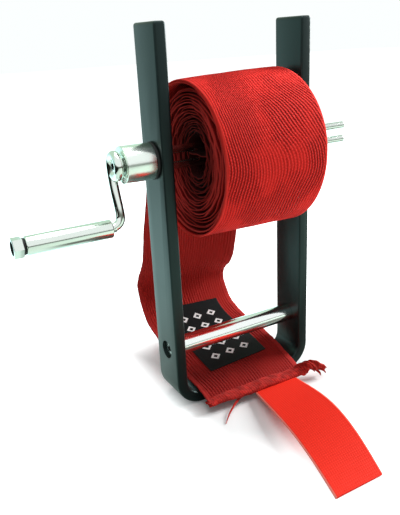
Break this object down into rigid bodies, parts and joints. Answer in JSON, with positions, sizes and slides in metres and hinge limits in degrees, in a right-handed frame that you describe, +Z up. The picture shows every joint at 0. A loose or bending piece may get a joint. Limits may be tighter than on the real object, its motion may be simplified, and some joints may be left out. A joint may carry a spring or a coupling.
{
  "type": "hand wrap roller",
  "caption": "Hand-cranked roller for boxing hand wraps: a bent flat-bar stand, a forked spindle with a turning handle, a guide rod and an elastic wrap wound on the fork.",
  "frame": {"origin": "middle of the frame's underside, on the table", "axes": "+X along the spindle away from the crank, +Y to the back where the wrap hangs, +Z up"},
  "size_m": [0.1773, 0.1645, 0.18],
  "materials": {
    "black_paint": "satin black powder coat",
    "chrome": "polished chrome plate",
    "bright_steel": "bright zinc",
    "black_nylon": "matt black",
    "red_wrap": "ribbed elastic weave",
    "red_hem": "rolled and stitched weave",
    "black_label": "satin woven label",
    "orange_hook_tape": "dense hook tape"
  },
  "bodies": {
    "frame": {"frame": "black_paint", "guide_rod": "chrome", "rod_screw_left": "bright_steel", "rod_screw_right": "bright_steel", "wrap_tail": "red_wrap", "wrap_hem": "red_hem", "label_patch": "black_label", "hook_strip": "orange_hook_tape"},
    "roll": {"wrap_roll": "red_wrap"},
    "spindle": {"hub": "chrome", "prong_upper": "chrome", "prong_lower": "chrome", "thrust_washer": "black_nylon", "crank_arm": "chrome", "arm_screw": "bright_steel", "handle_washer": "black_nylon", "handle_nut": "bright_steel"},
    "handle": {"handle_sleeve": "chrome"}
  },
  "joints": [
    {"name": "crank_turn", "type": "hinge", "parent": "frame", "child": "roll", "pos_m": [0, 0, 0.123], "axis": [1, 0, 0], "continuous": true},
    {"name": "spindle_pull_out", "type": "slide", "parent": "roll", "child": "spindle", "axis": [-1, 0, 0], "range_m": [0, 0.1]},
    {"name": "handle_spin", "type": "hinge", "parent": "spindle", "child": "handle", "pos_m": [-0.08, 0, 0.096], "axis": [1, 0, 0], "continuous": true}
  ]
}
